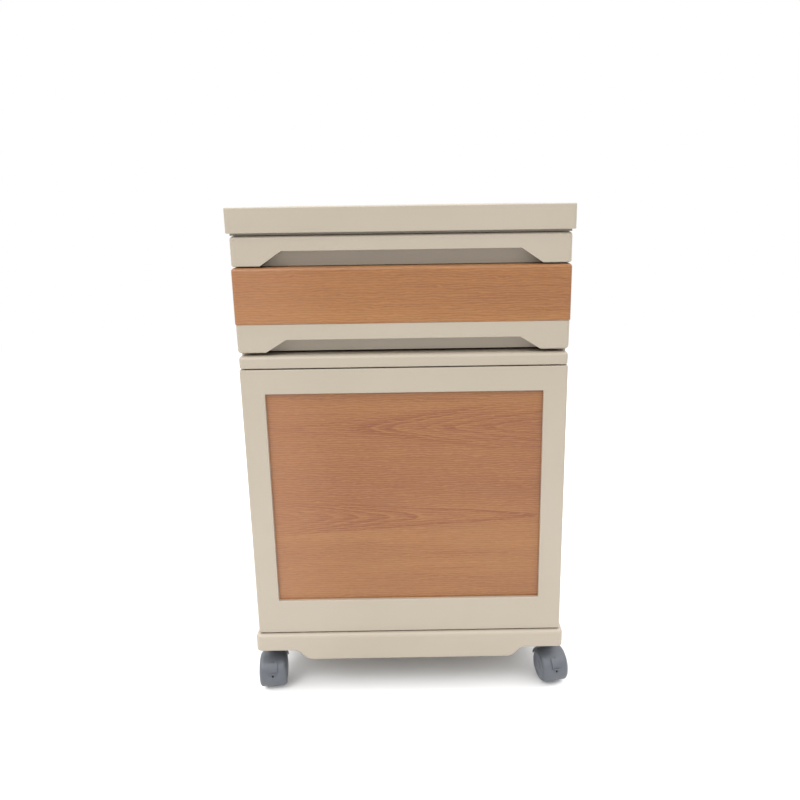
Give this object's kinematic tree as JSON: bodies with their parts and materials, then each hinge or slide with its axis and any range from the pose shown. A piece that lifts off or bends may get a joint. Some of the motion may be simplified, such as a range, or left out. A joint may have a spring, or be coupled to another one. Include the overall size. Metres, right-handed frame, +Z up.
{
  "type": "bedside cabinet",
  "caption": "Hospital bedside cabinet in moulded plastic with wood-look fronts: pull-out tray, drawer, hinged cupboard door and twin-wheel casters",
  "frame": {"origin": "on the floor, under the middle of the top", "axes": "+Z up, front towards -Y, +X towards the hinge side of the door"},
  "size_m": [0.5106, 0.482, 0.76],
  "materials": {
    "abs_beige": "warm beige moulded plastic, fine satin texture",
    "wood_decor": "beech-look decor foil, satin",
    "tub_plastic": "pale beige moulded plastic, satin",
    "runner_white": "off-white slippery plastic",
    "catch_brown": "brown moulded plastic",
    "caster_grey": "blue-grey moulded plastic, satin",
    "caster_tread": "blue-grey moulded plastic, slightly darker and smoother",
    "zinc_steel": "bright zinc-plated steel",
    "rubber_clear": "translucent soft rubber"
  },
  "bodies": {
    "cabinet": {"top_panel": "abs_beige", "side_panel_left": "abs_beige", "side_panel_right": "abs_beige", "back_panel": "abs_beige", "divider_shelf": "abs_beige", "base_plinth": "abs_beige", "inner_shelf": "abs_beige", "shelf_pegs": "zinc_steel", "tray_runner_left": "runner_white", "tray_runner_right": "runner_white", "drawer_runner_left": "runner_white", "drawer_runner_right": "runner_white", "runner_screws": "zinc_steel", "back_panel_screws": "zinc_steel", "carcass_screws": "zinc_steel", "hinge_bushes": "runner_white", "door_catch": "catch_brown", "caster_stems": "zinc_steel"},
    "tray": {"tray_front": "abs_beige", "tray_board": "abs_beige", "tray_screws": "zinc_steel"},
    "drawer": {"drawer_front": "abs_beige", "drawer_front_decor": "wood_decor", "drawer_tub": "tub_plastic", "drawer_screws": "zinc_steel"},
    "door": {"door_frame": "abs_beige", "door_decor_panel": "wood_decor", "door_inner_panel": "abs_beige", "door_screws": "zinc_steel", "door_hinge_pins": "zinc_steel", "door_strike": "zinc_steel", "door_bumpers": "rubber_clear"},
    "caster_front_left": {"caster_front_left_hood": "caster_grey", "caster_front_left_axle": "zinc_steel"},
    "caster_front_left_wheel_left": {"caster_front_left_wheel_left": "caster_tread"},
    "caster_front_left_wheel_right": {"caster_front_left_wheel_right": "caster_tread"},
    "caster_front_left_pedal": {"caster_front_left_pedal": "caster_grey"},
    "caster_front_right": {"caster_front_right_hood": "caster_grey", "caster_front_right_axle": "zinc_steel"},
    "caster_front_right_wheel_left": {"caster_front_right_wheel_left": "caster_tread"},
    "caster_front_right_wheel_right": {"caster_front_right_wheel_right": "caster_tread"},
    "caster_front_right_pedal": {"caster_front_right_pedal": "caster_grey"},
    "caster_rear_left": {"caster_rear_left_hood": "caster_grey", "caster_rear_left_axle": "zinc_steel"},
    "caster_rear_left_wheel_left": {"caster_rear_left_wheel_left": "caster_tread"},
    "caster_rear_left_wheel_right": {"caster_rear_left_wheel_right": "caster_tread"},
    "caster_rear_right": {"caster_rear_right_hood": "caster_grey", "caster_rear_right_axle": "zinc_steel"},
    "caster_rear_right_wheel_left": {"caster_rear_right_wheel_left": "caster_tread"},
    "caster_rear_right_wheel_right": {"caster_rear_right_wheel_right": "caster_tread"}
  },
  "joints": [
    {"name": "tray_slide", "type": "slide", "parent": "cabinet", "child": "tray", "axis": [0, -1, 0], "range_m": [0, 0.3]},
    {"name": "drawer_slide", "type": "slide", "parent": "cabinet", "child": "drawer", "axis": [0, -1, 0], "range_m": [0, 0.3]},
    {"name": "door_hinge", "type": "hinge", "parent": "cabinet", "child": "door", "pos_m": [0.228, -0.226, 0.32], "axis": [0, 0, 1], "range_deg": [0, 170]},
    {"name": "caster_front_left_swivel", "type": "hinge", "parent": "cabinet", "child": "caster_front_left", "pos_m": [-0.224, -0.188, 0.058], "axis": [0, 0, 1], "continuous": true},
    {"name": "caster_front_left_wheel_left_spin", "type": "hinge", "parent": "caster_front_left", "child": "caster_front_left_wheel_left", "pos_m": [-0.22243, -0.20593, 0.025], "axis": [0.9962, 0.0872, 0], "continuous": true},
    {"name": "caster_front_left_wheel_right_spin", "type": "hinge", "parent": "caster_front_left", "child": "caster_front_left_wheel_right", "pos_m": [-0.22243, -0.20593, 0.025], "axis": [0.9962, 0.0872, 0], "continuous": true},
    {"name": "caster_front_left_pedal_press", "type": "hinge", "parent": "caster_front_left", "child": "caster_front_left_pedal", "pos_m": [-0.22243, -0.20593, 0.025], "axis": [0.9962, 0.0872, 0], "range_deg": [0, 12]},
    {"name": "caster_front_right_swivel", "type": "hinge", "parent": "cabinet", "child": "caster_front_right", "pos_m": [0.224, -0.188, 0.058], "axis": [0, 0, 1], "continuous": true},
    {"name": "caster_front_right_wheel_left_spin", "type": "hinge", "parent": "caster_front_right", "child": "caster_front_right_wheel_left", "pos_m": [0.22836, -0.20547, 0.025], "axis": [0.9703, 0.2419, 0], "continuous": true},
    {"name": "caster_front_right_wheel_right_spin", "type": "hinge", "parent": "caster_front_right", "child": "caster_front_right_wheel_right", "pos_m": [0.22836, -0.20547, 0.025], "axis": [0.9703, 0.2419, 0], "continuous": true},
    {"name": "caster_front_right_pedal_press", "type": "hinge", "parent": "caster_front_right", "child": "caster_front_right_pedal", "pos_m": [0.22836, -0.20547, 0.025], "axis": [0.9703, 0.2419, 0], "range_deg": [0, 12]},
    {"name": "caster_rear_left_swivel", "type": "hinge", "parent": "cabinet", "child": "caster_rear_left", "pos_m": [-0.224, 0.188, 0.058], "axis": [0, 0, 1], "continuous": true},
    {"name": "caster_rear_left_wheel_left_spin", "type": "hinge", "parent": "caster_rear_left", "child": "caster_rear_left_wheel_left", "pos_m": [-0.22866, 0.17061, 0.025], "axis": [0.9659, -0.2588, 0], "continuous": true},
    {"name": "caster_rear_left_wheel_right_spin", "type": "hinge", "parent": "caster_rear_left", "child": "caster_rear_left_wheel_right", "pos_m": [-0.22866, 0.17061, 0.025], "axis": [0.9659, -0.2588, 0], "continuous": true},
    {"name": "caster_rear_right_swivel", "type": "hinge", "parent": "cabinet", "child": "caster_rear_right", "pos_m": [0.224, 0.188, 0.058], "axis": [0, 0, 1], "continuous": true},
    {"name": "caster_rear_right_wheel_left_spin", "type": "hinge", "parent": "caster_rear_right", "child": "caster_rear_right_wheel_left", "pos_m": [0.22243, 0.17007, 0.025], "axis": [0.9962, -0.0872, 0], "continuous": true},
    {"name": "caster_rear_right_wheel_right_spin", "type": "hinge", "parent": "caster_rear_right", "child": "caster_rear_right_wheel_right", "pos_m": [0.22243, 0.17007, 0.025], "axis": [0.9962, -0.0872, 0], "continuous": true}
  ]
}
